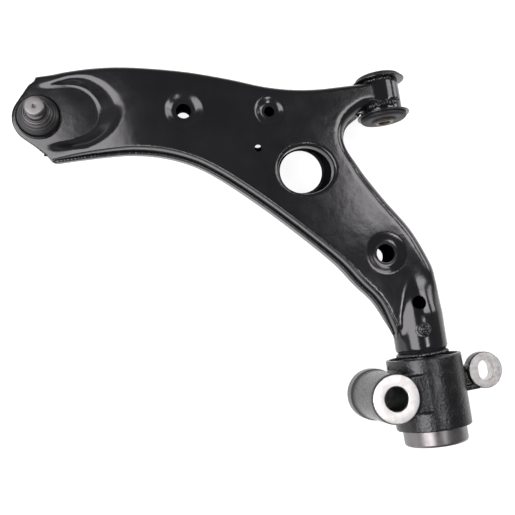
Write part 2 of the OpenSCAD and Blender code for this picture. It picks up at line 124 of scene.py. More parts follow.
FLAT_RIM = [
    (-375, -27), (-323, -26.5), (-304, -27.5), (-289, -22.5), (-276.5, -14.5), (-268, -4.5),
    (-264.5, 5), (-265.5, 16), (-271.5, 27), (-281.5, 37), (-295, 43.6), (-313, 45), (-330, 43.6),
    (-375, 43.6)]
FLAT_Z = 5.0  # floor of the ball joint recess, above the pivot plane
TOP_Z = 20.0  # top of the upper pressing, above the pivot plane
BOTTOM_Z = 18.0  # underside of the lower pressing, below the pivot plane
SHEET = 2.8
NECK_R = 26.0  # the rolled neck
NECK_FROM_Y, NECK_ROUND_Y, NECK_TIP_Y = -150.0, -236.0, -262.0
SADDLE_R = 23.0  # the tongues, where they wrap the cross tube
TONGUE_X, TONGUE_Y = -22.0, -25.0
RECESS_X = -240.0  # the recess and its surround lie beyond this
BUTT_Y = -200.0  # the pressings butt beyond this, and lap before it
LAP_X = -24.0  # the lap ends here, beside the tongue
NOSE_X = -340.0
DISH_DEPTH = 2.6
DISH_LAND = 2.0  # flat ring round the hole in a dish
DISHED = [(-209, 0, 7.3, 20), (-124.5, -8, 5.2, 15), (-28, -163, 9.2, 21)]
PLAIN = [(-141.5, -44.5, 3.4), (-4, -216, 6.5)]
LOWER_HOLES = [(-207, 1, 7.3), (-28, -162, 9.2), (-5, -214, 6.5), (-134, -29, 5.5)]
OVAL = (-96, -70.5, 28.3, 24.2)
LOWER_ROUND = (-93, -65, 22.4, 22.4)
HOUSING_R = 20.0


def through(points, steps):
    """Smooth open curve through the points."""
    p = np.array(points, float)
    out = []
    for i in range(len(p) - 1):
        a, b, c, d = p[max(i - 1, 0)], p[i], p[i + 1], p[min(i + 2, len(p) - 1)]
        for k in range(steps):
            t = k / steps
            out.append(0.5 * (2 * b + (c - a) * t + (2 * a - 5 * b + 4 * c - d) * t * t
                              + (3 * b - a - 3 * c + d) * t ** 3))
    out.append(p[-1])
    return np.array(out)


def resample(points, step, closed=False):
    """The path with points a step apart along it."""
    p = np.array(points, float)
    if closed:
        p = np.vstack([p, p[:1]])
    length = np.concatenate([[0], np.cumsum(np.linalg.norm(np.diff(p, axis=0), axis=1))])
    n = max(2, int(round(length[-1] / step)) + 1)
    at = np.linspace(0, length[-1], n)
    q = np.stack([np.interp(at, length, p[:, k]) for k in range(p.shape[1])], 1)
    return q[:-1] if closed else q


def right_normals(p):
    """Unit normals of a closed loop, pointing to its right."""
    d = np.roll(p, -1, 0) - np.roll(p, 1, 0)
    n = np.stack([d[:, 1], -d[:, 0]], 1)
    return n / np.linalg.norm(n, axis=1)[:, None]


def loop_of(cx, cy, a, b, n):
    """A closed loop taken clockwise, with the metal on its left."""
    t = -np.arange(n) * tau / n
    return np.stack([cx + a * np.cos(t), cy + b * np.sin(t)], 1)


def distance(points, path, closed):
    """Least distance from each point to the path, and the segment that it is nearest to."""
    a = path if closed else path[:-1]
    b = np.roll(path, -1, 0) if closed else path[1:]
    best = np.full(len(points), 1e9)
    nearest = np.zeros(len(points), int)
    for i in range(len(a)):
        d = b[i] - a[i]
        t = np.clip(((points - a[i]) @ d) / max(d @ d, 1e-12), 0, 1)
        gap = np.hypot(*(points - a[i] - t[:, None] * d).T)
        closer = gap < best
        best[closer] = gap[closer]
        nearest[closer] = i
    return best, nearest


def inside(points, loop):
    """Which points lie within the closed loop."""
    x, y = points.T
    result = np.zeros(len(points), bool)
    for (x0, y0), (x1, y1) in zip(loop, np.roll(loop, -1, 0)):
        if y0 != y1:
            crosses = (y0 > y) != (y1 > y)
            result ^= crosses & (x < (x1 - x0) * (y - y0) / (y1 - y0) + x0)
    return result


def smooth_step(t):
    """Runs from 0 to 1 with level ends."""
    t = np.clip(t, 0, 1)
    return t * t * (3 - 2 * t)


def smooth_max(a, b, k):
    """The greater of two heights, blended over a difference of k."""
    h = np.clip(0.5 + 0.5 * (a - b) / k, 0, 1)
    return b * (1 - h) + a * h + k * h * (1 - h)


def smooth_table(xs, zs, width, margin=60):
    """A height profile with its corners rounded off, as a function."""
    at = np.arange(xs[0] - margin, xs[-1] + margin, 1.0)
    z = np.interp(at, xs, zs)
    kernel = np.exp(-0.5 * (np.arange(-3 * width, 3 * width + 1) / width) ** 2)
    kernel /= kernel.sum()
    padded = np.pad(z, 3 * width, mode="edge")
    smoothed = np.convolve(padded, kernel, mode="valid")
    return lambda x: np.interp(x, at, smoothed)


# ---- mesh helpers ----


def finish_mesh(obj, angle):
    """Shades the object smooth, with edges sharper than the angle kept crisp."""
    mesh = obj.data
    mesh.shade_smooth()
    mesh.set_sharp_from_angle(angle=radians(angle))


def linked(name, data):
    """A new object in the scene, with the given mesh, light or camera."""
    obj = bpy.data.objects.new(name, data)
    bpy.context.scene.collection.objects.link(obj)
    return obj


def new_object(name, verts, faces, angle=38, recalc=True, merge=False):
    """An object from vertices in millimetres, with outward normals."""
    mesh = bpy.data.meshes.new(name)
    mesh.from_pydata([tuple(c * MM for c in v) for v in verts], [], [tuple(f) for f in faces])
    mesh.validate()
    if recalc:
        bm = bmesh.new()
        bm.from_mesh(mesh)
        if merge:
            bmesh.ops.remove_doubles(bm, verts=bm.verts, dist=1e-6)
        bmesh.ops.recalc_face_normals(bm, faces=bm.faces)
        bm.to_mesh(mesh)
        bm.free()
    obj = linked(name, mesh)
    finish_mesh(obj, angle)
    return obj


def object_of(build, name):
    """An object that takes over a bmesh."""
    mesh = bpy.data.meshes.new(name)
    build.to_mesh(mesh)
    build.free()
    return linked(name, mesh)


def apply_modifiers(obj):
    """Puts the object's modifiers into its mesh."""
    bpy.context.view_layer.update()
    depsgraph = bpy.context.evaluated_depsgraph_get()
    mesh = bpy.data.meshes.new_from_object(obj.evaluated_get(depsgraph))
    old = obj.data
    obj.modifiers.clear()
    obj.data = mesh
    bpy.data.meshes.remove(old)


def dress(obj, slot, body=None, nodes=(), look=None):
    """Gives a piece the look of its slot, or the look passed in, attaches it to its body, and hides the
    CAD nodes it stands for.
    """
    obj.data.materials.clear()
    obj.data.materials.append(look or LOOKS[slot])
    if body:
        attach(obj, body)
    if nodes:
        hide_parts(*nodes)
    return obj


def rounded(points, radii):
    """A profile with each corner rounded to its radius."""
    p = [np.array(q, float) for q in points]
    n = len(p)
    out = []
    for i in range(n):
        r = radii[i] if isinstance(radii, (list, tuple)) else radii
        a, b, c = p[i - 1], p[i], p[(i + 1) % n]
        u, v = a - b, c - b
        lu, lv = np.linalg.norm(u), np.linalg.norm(v)
        if r <= 0 or lu < 1e-6 or lv < 1e-6:
            out.append(b)
            continue
        u, v = u / lu, v / lv
        half = acos(max(-1, min(1, float(u @ v)))) / 2
        if half > radians(88):
            out.append(b)
            continue
        run = min(r / tan(half), 0.48 * lu, 0.48 * lv)
        r = run * tan(half)
        centre = b + (u + v) / np.linalg.norm(u + v) * (r / sin(half))
        s, e = b + u * run - centre, b + v * run - centre
        turn = atan2(s[0] * e[1] - s[1] * e[0], float(s @ e))
        for k in range(5):
            w = turn * k / 4
            out.append(centre + np.array([s[0] * cos(w) - s[1] * sin(w),
                                          s[0] * sin(w) + s[1] * cos(w)]))
    return out


def lathe(name, profile, axis, at=(0, 0), steps=128, angle=38):
    """A solid of revolution from a closed profile of (radius, height) points."""
    p = [(max(float(r), 0.0), float(h)) for r, h in profile]
    verts, rings = [], []
    for r, h in p:
        if r < 1e-4:
            rings.append([len(verts)])
            spots = [(0.0, 0.0)]
        else:
            rings.append(list(range(len(verts), len(verts) + steps)))
            spots = [(r * cos(tau * k / steps), r * sin(tau * k / steps))
                     for k in range(steps)]
        for c, s in spots:
            verts.append((at[0] + c, at[1] + s, h) if axis == "Z" else (at[0] + c, h, at[1] + s))
    faces = []
    for a, b in zip(rings, rings[1:] + rings[:1]):
        if len(a) == 1 and len(b) == 1:
            continue
        for k in range(steps):
            j = (k + 1) % steps
            face = [a[k % len(a)], a[j % len(a)], b[j % len(b)], b[k % len(b)]]
            faces.append(list(dict.fromkeys(face)))
    return new_object(name, verts, faces, angle)


def wobble(point, scale, seed):
    """Smooth noise at a point, different for each seed."""
    return noise.noise(Vector([c * scale for c in point]) + Vector((seed * 7.3, seed * 3.1, seed)))


BEAD_STEP = 0.7


def bead(name, path, radius, seed, ripple, roughness, swell=0.10, sides=12):
    """A weld bead swept along a path, with the ripples and lumps of real weld metal."""
    p = resample(path, BEAD_STEP)
    t = np.gradient(p, axis=0)
    t /= np.linalg.norm(t, axis=1)[:, None]
    rng = random.Random(seed)
    verts, n = [], len(p)
    phase = 0.0
    for i in range(n):
        phase += BEAD_STEP / ripple * tau * rng.uniform(0.75, 1.25)
        side = np.cross(t[i], (0.13, 0.21, 0.97))
        side /= np.linalg.norm(side)
        up = np.cross(side, t[i])
        end = min(i, n - 1 - i) * BEAD_STEP / radius
        size = radius * sqrt(max(0.04, 1 - max(0, 1 - end) ** 2))
        size *= 1 + swell * sin(phase)
        for k in range(sides):
            w = tau * k / sides
            out = side * cos(w) + up * sin(w)
            lump = 1 + roughness * 1.6 * wobble(p[i] + out * radius, 0.42, seed)
            verts.append(p[i] + out * size * lump)
    faces = [[i * sides + k, i * sides + (k + 1) % sides, (i + 1) * sides + (k + 1) % sides,
              (i + 1) * sides + k] for i in range(n - 1) for k in range(sides)]
    faces += [list(range(sides)), list(range((n - 1) * sides, n * sides))]
    return new_object(name, verts, faces, 60)


# ---- materials ----


def set_inputs(node, values):
    for socket, value in values.items():
        node.inputs[socket].default_value = value


def material(name, base, spread, rough, rough_spread, metallic=0.0, cloud=60.0, grain=900.0,
             grain_depth=0.00003, lumps=0.0, lump_depth=0.0, wear=None, wear_amount=0.0,
             specular=0.5, brushed=None):
    """A procedural finish: clouded colour, uneven roughness, surface grain and worn edges."""
    m = bpy.data.materials.new(name)
    m.use_nodes = True
    nodes, links = m.node_tree.nodes, m.node_tree.links
    shader = nodes["Principled BSDF"]
    set_inputs(shader, {"Metallic": metallic, "Specular IOR Level": specular})
    where = nodes.new("ShaderNodeTexCoord")

    def noise_at(scale, detail, stretch=None):
        texture = nodes.new("ShaderNodeTexNoise")
        set_inputs(texture, {"Scale": scale, "Detail": detail})
        source = where.outputs["Object"]
        if stretch:
            mapping = nodes.new("ShaderNodeMapping")
            set_inputs(mapping, {"Scale": stretch})
            links.new(source, mapping.inputs["Vector"])
            source = mapping.outputs["Vector"]
        links.new(source, texture.inputs["Vector"])
        return texture.outputs["Fac"]

    def ranged(value, low, high, from_low=0.3, from_high=0.7):
        span = nodes.new("ShaderNodeMapRange")
        set_inputs(span, {"From Min": from_low, "From Max": from_high, "To Min": low, "To Max": high})
        links.new(value, span.inputs["Value"])
        return span.outputs["Result"]

    def mixed(factor, a, b):
        mix = nodes.new("ShaderNodeMix")
        mix.data_type = "RGBA"
        links.new(factor, mix.inputs["Factor"])
        for socket, value in ((mix.inputs[6], a), (mix.inputs[7], b)):
            if isinstance(value, tuple):
                socket.default_value = (*value, 1)
            else:
                links.new(value, socket)
        return mix.outputs[2]

    clouds = noise_at(cloud, 5)
    dark = tuple(c * (1 - spread) for c in base)
    light = tuple(min(1, c * (1 + spread)) for c in base)
    colour = mixed(ranged(clouds, 0, 1), dark, light)
    if wear:
        point = nodes.new("ShaderNodeNewGeometry").outputs["Pointiness"]
        edge = ranged(point, 0, wear_amount, 0.53, 0.62)
        patchy = nodes.new("ShaderNodeMath")
        patchy.operation = "MULTIPLY"
        links.new(edge, patchy.inputs[0])
        links.new(ranged(noise_at(cloud * 5, 4), 0, 1, 0.35, 0.6), patchy.inputs[1])
        colour = mixed(patchy.outputs["Value"], colour, wear)
    links.new(colour, shader.inputs["Base Color"])
    links.new(ranged(noise_at(cloud * 2.3, 6), rough - rough_spread, rough + rough_spread),
              shader.inputs["Roughness"])
    previous = None
    layers = [(noise_at(grain, 4, brushed), grain_depth)]
    if lumps:
        layers.append((noise_at(lumps, 3), lump_depth))
    for height, depth in layers:
        bump = nodes.new("ShaderNodeBump")
        set_inputs(bump, {"Strength": 1.0, "Distance": depth})
        links.new(height, bump.inputs["Height"])
        if previous:
            links.new(previous, bump.inputs["Normal"])
        previous = bump.outputs["Normal"]
    links.new(previous, shader.inputs["Normal"])
    return m


ARM_PAINT = material(
    "arm_paint_black", (0.0062, 0.0060, 0.0070), 0.25, 0.15, 0.03, cloud=25, grain=700,
    grain_depth=0.000012, lumps=90, lump_depth=0.00012, wear=(0.05, 0.05, 0.055), wear_amount=0.4)
WELD_PAINT = material(
    "weld_paint_black", (0.008, 0.0078, 0.009), 0.3, 0.15, 0.05, cloud=90, grain=900,
    grain_depth=0.00004, lumps=420, lump_depth=0.0003, wear=(0.06, 0.055, 0.055), wear_amount=0.4)
CAST_PAINT = material(
    "cast_paint_black", (0.005, 0.005, 0.006), 0.3, 0.25, 0.06, cloud=60, grain=1300,
    grain_depth=0.00009, lumps=420, lump_depth=0.00045, wear=(0.06, 0.06, 0.065), wear_amount=0.3,
    specular=0.46)
# Painted shade: the bore's black paint, made darker and far less glossy than the casting's paint so
# that it stands in for the shade inside the bore.
BORE_PAINTED_SHADE = material(
    "bore_black_painted_shade", (0.003, 0.003, 0.003), 0.3, 0.6, 0.1, cloud=60, grain=1300,
    grain_depth=0.00004, specular=0.08)
MACHINED = material(
    "machined_steel", (0.63, 0.615, 0.60), 0.14, 0.40, 0.08, metallic=1.0, cloud=160, grain=700,
    grain_depth=0.00004)
SLEEVE_STEEL = material(
    "sleeve_steel", (0.20, 0.19, 0.19), 0.12, 0.36, 0.07, metallic=1.0, cloud=45, grain=260,
    grain_depth=0.00003, brushed=(0.3, 5, 0.3))
STUD_STEEL = material(
    "stud_steel", (0.165, 0.158, 0.158), 0.14, 0.38, 0.07, metallic=1.0, cloud=120, grain=1400,
    grain_depth=0.00003)
ZINC_STEEL = material(
    "zinc_steel", (0.15, 0.125, 0.10), 0.16, 0.38, 0.07, metallic=1.0, cloud=110, grain=1200,
    grain_depth=0.00002)
BUSH_RUBBER = material(
    "bush_rubber_black", (0.010, 0.010, 0.011), 0.25, 0.50, 0.08, cloud=80, grain=1300,
    grain_depth=0.00005, wear=(0.03, 0.03, 0.03), wear_amount=0.5, specular=0.28)
RING_RUBBER = material(
    "ring_rubber_black", (0.002, 0.002, 0.002), 0.2, 0.65, 0.05, cloud=120, grain=1500,
    grain_depth=0.00003, specular=0.06)
BOOT_RUBBER = material(
    "boot_rubber_black", (0.007, 0.007, 0.008), 0.2, 0.42, 0.06, cloud=120, grain=1600,
    grain_depth=0.00003, wear=(0.04, 0.04, 0.042), wear_amount=0.4)
SEAT_PLASTIC = material(
    "seat_plastic_white", (0.75, 0.73, 0.68), 0.05, 0.45, 0.05, cloud=90, grain=900,
    grain_depth=0.00002)
LOOKS = {
    "arm_paint": ARM_PAINT, "weld_paint": WELD_PAINT, "cast_paint": CAST_PAINT,
    "machined_steel": MACHINED, "sleeve_steel": SLEEVE_STEEL, "stud_steel": STUD_STEEL,
    "zinc_steel": ZINC_STEEL, "bush_rubber": BUSH_RUBBER, "boot_rubber": BOOT_RUBBER,
    "seat_plastic": SEAT_PLASTIC}

# ---- the two pressings ----

EDGE_STEP = 2.2  # spacing along the outline
EDGE_TURNS = np.radians([78, 66, 54, 42, 30, 18, 6])  # rows round the outline's rounding
FLANGE_TURNS = np.radians([75, 60, 45, 30, 15, 0, -25])
HOLE_ROWS = (0.3, 0.8, 1.6, 3.0)  # rows round a plain hole
DISH_ROWS = np.arange(-12.5, 3.0, 1.0)  # rows about the rim of a dish
RECESS_GRID_LOW, RECESS_GRID_HIGH, RECESS_GRID_STEP = (-350, -34), (-258, 50), 1.0
SHEET_GRID_STEP = 2.4
CELL = 0.55  # least spacing of the free points
NEAR = 45  # reach of a hole's own work
OUTLINE_GAP, HOLE_GAP = 0.06, 0.2  # free points keep this far away
BUTT_Z = 0.03  # wall's lower edge where the pressings butt
NECK_TUBE = ([-266, NECK_TIP_Y, -228, -205, NECK_FROM_Y], [NECK_R - 3, NECK_R, NECK_R, NECK_R - 3.5, 9])


def plan_outline(widen):
    """The outline as a closed loop taken anticlockwise, its part names, and the lapped outline."""
    nose = [(BALL_X + NOSE_R * cos(radians(a)),
             BALL_Y + NOSE_R * sin(radians(a))) for a in np.linspace(140, 230, 14)]
    parts = [("outer", through(OUTER_EDGE, 8)), ("end", NECK_END),
             ("inner", through(INNER_EDGE, 8)), ("tongue", TONGUE_END),
             ("front", through(FRONT_EDGE, 8)),
             ("nose", [(-347, 47), (-352, 43)] + nose + [(-350, -20), (-343, -27)])]
    points, names = [], []
    for name, part in parts:
        q = resample(part, EDGE_STEP)
        points.extend(q)
        names.extend([name] * len(q))
    p = np.array(points)
    keep = np.linalg.norm(p - np.roll(p, 1, 0), axis=1) > 0.25
    p, names = p[keep], [n for n, k in zip(names, keep) if k]
    x, y = p.T
    lap = np.zeros(len(p))
    part = np.array(names)
    outer, inner, front = part == "outer", part == "inner", part == "front"
    lap[outer] = (smooth_step((x - NOSE_X) / 5) * smooth_step((y + 256) / 45))[outer]
    lap[inner] = (smooth_step((y - BUTT_Y) / 6) * smooth_step((LAP_X - x) / 5))[inner]
    leg = inner & (y < -30)
    lap[leg] = smooth_step((y - BUTT_Y) / 6)[leg]
    lap[front] = (smooth_step((x + 305) / 40) * smooth_step((LAP_X - x) / 5))[front]
    return p + widen * (lap[:, None] * right_normals(p)), names, lap


def edge_radii(loop, names, fall, outer, front, inner, bay, tongue):
    """Radius of the rounding along each point of the outline."""
    r = np.full(len(loop), tongue, float)
    for i, ((x, y), name) in enumerate(zip(loop, names)):
        if name == "outer":
            r[i] = outer
        elif name == "front" and x < -14:
            r[i] = front
        elif name == "inner" and x < -14:
            r[i] = bay if y > -75 else inner
        elif name == "inner" and y < -100:
            r[i] = inner
        elif name == "nose" or x < NOSE_X:
            r[i] = tongue
    for _ in range(10):
        r = (np.roll(r, 1) + 2 * r + np.roll(r, -1)) / 4
    return np.minimum(r, 0.7 * fall(loop[:, 0]))


def rounding(d, r):
    """How far a rounded edge of radius r has dropped at distance d from it."""
    over = np.clip(r - d, 0, r)
    return r - np.sqrt(np.maximum(r * r - over * over, 0))


def opening_loops(holes, oval_shape):
    """The loops of the plain holes with the housing's seat, and the loop of the flanged hole."""
    loops = [loop_of(x, y, r, r, 48 if r > 4 else 28) for x, y, r in holes]
    loops.append(loop_of(BALL_X, BALL_Y, HOUSING_R - 0.2, HOUSING_R - 0.2, 72))
    return loops, loop_of(*oval_shape, 84)


def staggered_grid(low, high, step):
    """Points over a box, with every other row shifted by half a step."""
    gx, gy = np.meshgrid(np.arange(low[0], high[0], step), np.arange(low[1], high[1], step))
    gx[1::2] += step / 2
    return np.stack([gx.ravel(), gy.ravel()], 1)


def free_points(loop, side, radii, hole_loops, oval, flange_r, dishes):
    """Points inside the sheet, closer together on its roundings, round its holes and in the recess."""
    rows = []
    inward = -right_normals(loop)
    for turn in EDGE_TURNS:
        d = radii * (1 - sin(turn))
        ring = loop + inward * d[:, None]
        gap, _ = distance(ring, loop, True)
        rows.append(ring[(gap > 0.9 * d) & side])
    for hole in hole_loops:
        rows += [hole - right_normals(hole) * d for d in HOLE_ROWS]
    for turn in FLANGE_TURNS:
        rows.append(oval - right_normals(oval) * (flange_r * (1 - sin(turn))))
    for x, y, _, big in dishes:
        rows += [loop_of(x, y, big + d, big + d, 72) for d in DISH_ROWS]
    rows.append(staggered_grid(RECESS_GRID_LOW, RECESS_GRID_HIGH, RECESS_GRID_STEP))
    rows.append(staggered_grid(loop.min(0), loop.max(0), SHEET_GRID_STEP))
    points = np.vstack(rows)
    points = points[inside(points, loop)]
    points = points[distance(points, loop, True)[0] > OUTLINE_GAP]
    for hole in hole_loops + [oval]:
        near = np.linalg.norm(points - hole.mean(0), axis=1) < NEAR
        bad = np.zeros(len(points), bool)
        bad[near] = inside(points[near], hole) | (distance(points[near], hole, True)[0] < HOLE_GAP)
        points = points[~bad]
    kept = {}
    for point in points:
        kept.setdefault((round(point[0] / CELL), round(point[1] / CELL)), point)
    return np.array(list(kept.values()))


def triangulated(loop, openings, free):
    """The sheet in plan: its points, its triangles, and where each given point went."""
    segments, count = [], 0
    for path in [loop] + openings:
        n = len(path)
        segments += [(count + i, count + (i + 1) % n) for i in range(n)]
        count += n
    plan = [Vector(q) for q in np.vstack([loop] + openings + [free])]
    verts, _, faces, originals, _, _ = delaunay_2d_cdt(plan, segments, [], 0, 1e-6)
    place = {old: new for new, olds in enumerate(originals) for old in olds}
    flat = np.array([tuple(v) for v in verts])
    tri = np.array([f for f in faces if len(f) == 3])
    centre = flat[tri].mean(1)
    keep = inside(centre, loop)
    for path in openings:
        keep &= ~inside(centre, path)
    return flat, tri[keep], place


def from_edge(flat, loop, side):
    """How far each point is from the walled stretches of the outline, and the nearest place there."""
    gap, nearest = np.full(len(flat), 1e9), np.zeros(len(flat), int)
    sides = np.flatnonzero(side)
    breaks = np.flatnonzero(np.diff(sides) > 1)
    for run in np.split(sides, breaks + 1):
        d, i = distance(flat, loop[run], False)
        closer = d < gap
        gap[closer] = d[closer]
        nearest[closer] = run[np.minimum(i[closer], len(run) - 1)]
    return gap, nearest


def formed(flat, z, edges):
    """The heights with the neck rolled, and each hole's edge turned down to its radius."""
    x, y = flat.T
    neck = np.sqrt(np.maximum(np.interp(y, *NECK_TUBE) ** 2 - x ** 2, 0))
    on_neck = y < NECK_FROM_Y
    z[on_neck] = smooth_max(z[on_neck], neck[on_neck], 4.0)
    w = smooth_step((y - NECK_TIP_Y) / (NECK_ROUND_Y - NECK_TIP_Y))
    z = np.where(y < NECK_ROUND_Y, neck + (z - neck) * w, z)
    for hole, r in edges:
        near = np.linalg.norm(flat - hole.mean(0), axis=1) < NEAR
        z[near] -= rounding(distance(flat[near], hole, True)[0], r)
    return z


def wall_bottoms(loop, laps, skirt):
    """Height of the wall's lower edge along the outline, clear of the cross tube."""
    bottoms = []
    for (x, y), lap in zip(loop, laps):
        if abs(x) < EYE_R - 0.1 and y > -30:
            bottoms.append(max(sqrt(EYE_R ** 2 - x ** 2), skirt[0]))
        elif y < BUTT_Y and x > 0:
            bottoms.append(BUTT_Z)
        else:
            bottoms.append(skirt[0] * (1 - lap) + skirt[1] * lap)
    return bottoms


def add_wall(solid, faces, top, bottoms, gaps=(), bands=3):
    """Hangs a wall from a closed row of points, down to the given heights."""
    rows, n = [top], len(top)
    for band in range(1, bands + 1):
        w = band / bands
        rows.append(list(range(len(solid), len(solid) + n)))
        for i, bottom in zip(top, bottoms):
            x, y, z = solid[i]
            solid.append(np.array([x, y, z * (1 - w) + bottom * w]))
    for above, below in zip(rows, rows[1:]):
        for i in range(n):
            j = (i + 1) % n
            if i not in gaps:
                faces.append([above[i], below[i], below[j], above[j]])


def pressing(name, sign, height, outline, radii, holes, dishes, flanged, skirt, hole_edge):
    """A pressed shell over its plan outline. Heights are measured away from the pivot plane,
    upwards for sign 1 and downwards for sign -1."""
    loop, names, laps = outline
    *oval_shape, flange_r, flange_depth = flanged
    side = np.array([part not in ("end", "tongue") for part in names])
    hole_loops, oval = opening_loops(holes, oval_shape)
    free = free_points(loop, side, radii, hole_loops, oval, flange_r, dishes)
    flat, tri, place = triangulated(loop, hole_loops + [oval], free)
    gap, nearest = from_edge(flat, loop, side)
    edges = [(hole, hole_edge) for hole in hole_loops] + [(oval, flange_r)]
    z = formed(flat, height(flat) - rounding(gap, radii[nearest]), edges)
    solid = list(np.column_stack([flat, z]))
    faces = [list(f) for f in tri]
    n = len(loop)
    open_at = [part in ("end", "tongue") or x < NOSE_X for part, (x, _) in zip(names, loop)]
    gaps = {i for i in range(n) if open_at[i] or open_at[(i + 1) % n]}
    add_wall(solid, faces, [place[i] for i in range(n)], wall_bottoms(loop, laps, skirt), gaps)
    first = n + sum(len(hole) for hole in hole_loops)
    flange = [place[first + i] for i in range(len(oval))]
    add_wall(solid, faces, flange, [solid[i][2] - flange_depth for i in flange])
    solid = np.array(solid)
    solid[:, 2] *= sign
    if sign < 0:
        faces = [f[::-1] for f in faces]
    used = sorted({v for f in faces for v in f})
    renumber = {v: i for i, v in enumerate(used)}
    obj = new_object(name, solid[used], [[renumber[v] for v in f] for f in faces], 40, False)
    thick = obj.modifiers.new("sheet", "SOLIDIFY")
    thick.thickness = SHEET * MM
    thick.offset = -1
    apply_modifiers(obj)
    finish_mesh(obj, 40)
    return obj


def evened(height, low, high, spread):
    """The height function with its creases blurred, as looked up on a half-millimetre grid."""
    step = 0.5
    gx, gy = np.arange(low[0], high[0], step), np.arange(low[1], high[1], step)
    field = height(np.stack(np.meshgrid(gx, gy), -1).reshape(-1, 2)).reshape(len(gy), len(gx))
    reach = int(3 * spread / step)
    kernel = np.exp(-0.5 * (np.arange(-reach, reach + 1) * step / spread) ** 2)
    kernel /= kernel.sum()
    field = np.pad(field, reach, mode="edge")
    field = np.apply_along_axis(np.convolve, 0, field, kernel, mode="valid")
    field = np.apply_along_axis(np.convolve, 1, field, kernel, mode="valid")

    def look_up(points):
        u = np.clip((points[:, 0] - gx[0]) / step, 0, len(gx) - 1.001)
        v = np.clip((points[:, 1] - gy[0]) / step, 0, len(gy) - 1.001)
        i, j = u.astype(int), v.astype(int)
        u, v = u - i, v - j
        return ((1 - u) * (1 - v) * field[j, i] + u * (1 - v) * field[j, i + 1]
                + (1 - u) * v * field[j + 1, i] + u * v * field[j + 1, i + 1])
    return look_up


def recess(points, floor, rim, base, floor_height):
    """Height of the recess for the ball joint: flat floor, steep wall and a broad rounded rim."""
    in_floor = inside(points, floor)
    in_rim = inside(points, rim)
    to_floor, _ = distance(points, floor, True)
    to_rim, _ = distance(points, rim, True)
    t = np.where(in_floor, 0, np.where(in_rim, to_floor / (to_floor + to_rim + 1e-9), 1))
    steps = np.linspace(0, 1, 101)
    slope = smooth_step(steps / 0.16) * (1 - smooth_step((steps - 0.55) / 0.45))
    rise = np.concatenate([[0], np.cumsum(slope[1:] + slope[:-1])])
    return floor_height + (base - floor_height) * np.interp(t, steps, rise / rise[-1])


# Height of each pressing along x, falling towards the ball joint, and how far the neck drops along y
top_fall = smooth_table(
    [-400, -338, -328, -316, -300, -285, -270, -260, -250, -240, -228, -212, 100],
    [FLAT_Z, FLAT_Z, 8.2, 12.0, 14.9, 16.5, 17.85, 18.65, 19.3, 19.7, 19.95, TOP_Z, TOP_Z], 5)
under_fall = smooth_table([-400, -345, -150, 100], [6, 6, BOTTOM_Z, BOTTOM_Z], 8)
neck_drop = smooth_table([-300, NECK_TIP_Y, -238, -188, 100], [15, 8.8, 4.6, 0, 0], 9)
RECESS_LOW, RECESS_HIGH = (-385, -50), (-235, 70)
UNDER_FLOOR_Z = 1.0
FLOOR_LOOP, RIM_LOOP = through(FLAT_FLOOR, 10), through(FLAT_RIM, 10)
top_recess = evened(lambda p: recess(p, FLOOR_LOOP, RIM_LOOP, top_fall(p[:, 0]), FLAT_Z),
                    RECESS_LOW, RECESS_HIGH, 0.9)
under_recess = evened(
    lambda p: recess(p, FLOOR_LOOP, RIM_LOOP, under_fall(p[:, 0]), UNDER_FLOOR_Z),
    RECESS_LOW, RECESS_HIGH, 1.2)


def necked_and_wrapped(z, x, y):
    """The height with the neck's drop, and the tongue wrapped round the cross tube."""
    z -= neck_drop(y)
    wrap = np.sqrt(np.maximum(SADDLE_R ** 2 - x ** 2, 0))
    on_tube = (x > TONGUE_X) & (y > TONGUE_Y)
    z[on_tube] = smooth_max(z[on_tube], wrap[on_tube] - 0.05, 1.2)
    return z


def top_height(points):
    x, y = points.T
    z = np.where(x < RECESS_X, top_recess(points), top_fall(x))
    for hx, hy, hr, big in DISHED:
        rho = np.hypot(x - hx, y - hy)
        slope = (rho - hr - DISH_LAND) / (big + 1.0 - hr - DISH_LAND)
        z -= DISH_DEPTH * (1 - smooth_step(slope))
    return necked_and_wrapped(z, x, y)


def under_height(points):
    x, y = points.T
    return necked_and_wrapped(np.where(x < RECESS_X, under_recess(points), under_fall(x)), x, y)


LAP_WIDTH = 2.95
upper_loop, upper_names, laps = plan_outline(0)
upper = pressing(
    "upper_pressing", 1, top_height, (upper_loop, upper_names, laps),
    edge_radii(upper_loop, upper_names, top_fall, outer=2.7, front=6.0, inner=13.0, bay=11.0,
               tongue=1.2),
    [h[:3] for h in DISHED] + PLAIN, DISHED, flanged=(*OVAL, 3.4, 7.6), skirt=(0.0, -3.0),
    hole_edge=0.5)
dress(upper, "arm_paint", "arm", ["upper_shell"])
lower_loop, lower_names, _ = plan_outline(LAP_WIDTH)
lower = pressing(
    "lower_pressing", -1, under_height, (lower_loop, lower_names, laps),
    edge_radii(lower_loop, lower_names, under_fall, outer=11.0, front=11.0, inner=12.0, bay=10.0,
               tongue=1.2),
    LOWER_HOLES, [], flanged=(*LOWER_ROUND, 2.0, 1.0), skirt=(0.1, -2.0), hole_edge=0.5)
dress(lower, "arm_paint", "arm", ["lower_shell"])

# ---- welds on the arm ----


def seam(name, part, keep, seed, node):
    """The weld bead on the ledge where one pressing laps the other."""
    along = np.array([i for i, n in enumerate(upper_names) if n == part and keep(*upper_loop[i])])
    wide = laps[along]
    p = upper_loop[along] + (0.2 + 0.9 * wide[:, None]) * right_normals(upper_loop)[along]
    path = np.column_stack([p, 0.4 + 1.75 * wide])
    piece = bead(name, path, 1.45, seed, ripple=3.2, roughness=0.05, swell=0.03)
    return dress(piece, "weld_paint", "arm", [node], ARM_PAINT)


seam("outer_seam_weld", "outer", lambda x, y: x > NOSE_X + 4 and y > -246, 11, "seam_weld_outer")
seam("front_seam_weld", "front", lambda x, y: -292 < x < -27, 12, "seam_weld_front")
seam("inner_seam_weld", "inner", lambda x, y: BUTT_Y + 3 < y < -26, 13, "seam_weld_inner")


